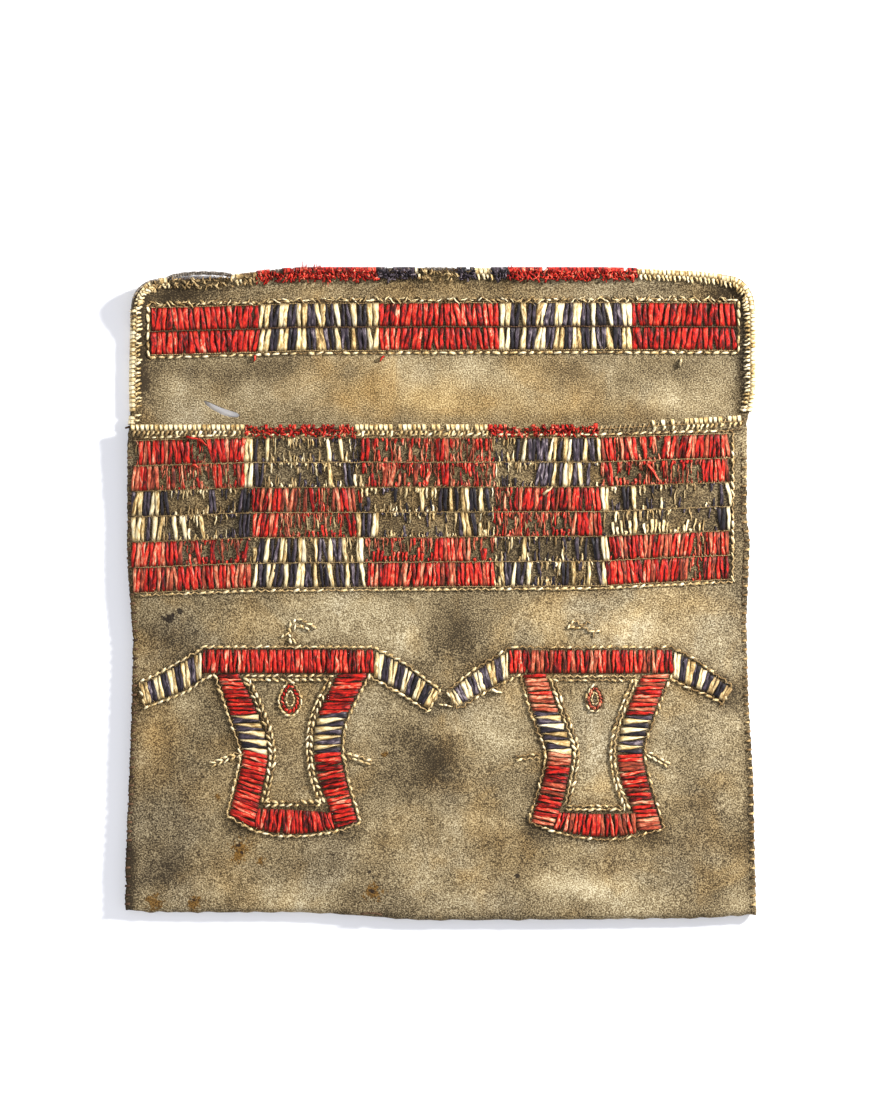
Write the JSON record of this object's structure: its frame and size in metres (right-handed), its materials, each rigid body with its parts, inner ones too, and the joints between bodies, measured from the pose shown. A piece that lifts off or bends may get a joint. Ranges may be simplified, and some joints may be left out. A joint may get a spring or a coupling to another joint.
{
  "type": "quilled pouch",
  "caption": "Flat hide pouch with its flap open, quill-wrapped rims, a quilled band on the flap, a worn chequer band under the mouth and hourglass thunderbird figures below.",
  "frame": {"origin": "middle of the pouch's plan box, on the surface it lies on", "axes": "+X across the pouch to the right, +Y up towards the open flap, +Z off the surface, out of the quilled front"},
  "size_m": [0.2018, 0.2083, 0.0107],
  "materials": {
    "hide": "suede, matte and mottled",
    "red_quill": "dyed quill, satin",
    "white_quill": "bleached quill, satin",
    "cream_quill": "undyed quill, satin",
    "blue_quill": "dyed quill, satin",
    "cord": "bare cord, matte",
    "thread": "sinew thread, matte"
  },
  "bodies": {
    "root": {"chequer_outline": "white_quill", "chequer_row1_block1": "red_quill", "chequer_row1_block2": "white_quill", "chequer_row1_block3": "red_quill", "chequer_row1_block4": "white_quill", "chequer_row1_block5": "red_quill", "chequer_row2_block1": "white_quill", "chequer_row2_block2": "red_quill", "chequer_row2_block3": "white_quill", "chequer_row2_block4": "red_quill", "chequer_row2_block5": "white_quill", "chequer_row3_block1": "red_quill", "chequer_row3_block2": "white_quill", "chequer_row3_block3": "red_quill", "chequer_row3_block4": "white_quill", "chequer_row3_block5": "red_quill", "flap_band_1": "red_quill", "flap_band_2": "white_quill", "flap_band_3": "red_quill", "flap_band_4": "white_quill", "flap_band_5": "red_quill", "flap_band_outline": "white_quill", "flap_edging_blue_left": "blue_quill", "flap_edging_blue_right": "blue_quill", "flap_edging_cream": "cream_quill", "flap_edging_red_left": "red_quill", "flap_edging_red_right": "red_quill", "flap_edging_white_left": "white_quill", "flap_edging_white_right": "white_quill", "hide_body": "hide", "left_figure_bar": "red_quill", "left_figure_inner_line": "white_quill", "left_figure_outline": "white_quill", "left_figure_pendant": "red_quill", "left_figure_side_left": "red_quill", "left_figure_side_right": "red_quill", "left_figure_tail": "red_quill", "left_figure_wing_left": "white_quill", "left_figure_wing_right": "white_quill", "mouth_edging_bare_thread": "thread", "mouth_edging_red_left": "red_quill", "mouth_edging_red_right": "red_quill", "mouth_edging_white_left": "white_quill", "mouth_edging_white_middle": "white_quill", "mouth_edging_white_right": "white_quill", "right_figure_bar": "red_quill", "right_figure_inner_line": "white_quill", "right_figure_outline": "white_quill", "right_figure_pendant": "red_quill", "right_figure_side_left": "red_quill", "right_figure_side_right": "red_quill", "right_figure_tail": "red_quill", "right_figure_wing_left": "white_quill", "right_figure_wing_right": "white_quill", "rim_cord_loose": "cord", "rim_cord_middle": "cord", "side_seam_left": "thread", "side_seam_right": "thread"}
  },
  "joints": []
}
